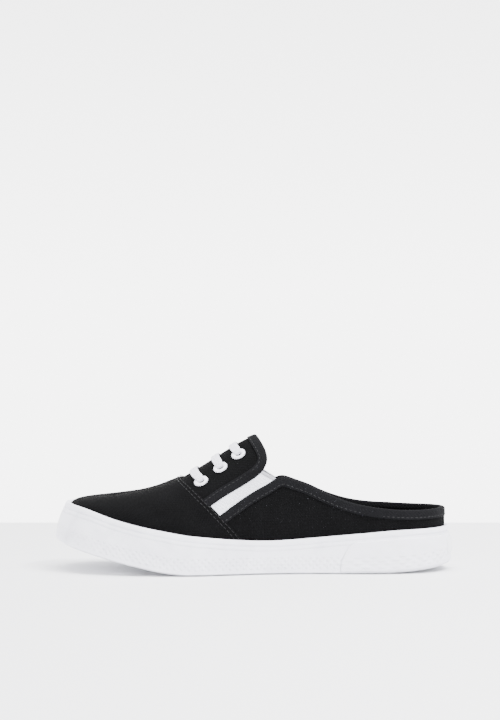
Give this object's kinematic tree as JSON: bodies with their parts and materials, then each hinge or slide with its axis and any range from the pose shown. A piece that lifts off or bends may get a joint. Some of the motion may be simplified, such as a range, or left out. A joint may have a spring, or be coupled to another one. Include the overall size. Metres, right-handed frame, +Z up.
{
  "type": "slip-on sneaker mule",
  "caption": "Low-backed canvas slip-on sneaker for a left foot, with black upper, white elastic gores, white lace bars and a white rubber sole.",
  "frame": {"origin": "middle of the shoe's bounding box at floor level", "axes": "+X from toe to heel, +Z up, -Y the outer side of a left shoe"},
  "size_m": [0.2611, 0.0939, 0.0889],
  "materials": {
    "canvas": "matte woven canvas",
    "tape": "matte twill tape",
    "elastic": "ribbed white elastic",
    "lace": "flat woven lace",
    "eyelet": "white enamel",
    "rubber": "matte white rubber",
    "rubber_heel": "matte white rubber",
    "tread": "matte white rubber",
    "footbed": "black cloth over foam",
    "label": "smooth white rubber"
  },
  "bodies": {
    "root": {"upper": "canvas", "binding_instep": "tape", "binding_collar": "tape", "gore_lateral": "elastic", "gore_medial": "elastic", "lace_1": "lace", "lace_2": "lace", "lace_3": "lace", "insole": "footbed", "outsole": "tread", "foxing": "rubber", "heel_foxing": "rubber_heel", "heel_label": "label", "eyelet_lateral_1": "eyelet", "eyelet_lateral_2": "eyelet", "eyelet_lateral_3": "eyelet", "eyelet_medial_1": "eyelet", "eyelet_medial_2": "eyelet", "eyelet_medial_3": "eyelet"}
  },
  "joints": []
}
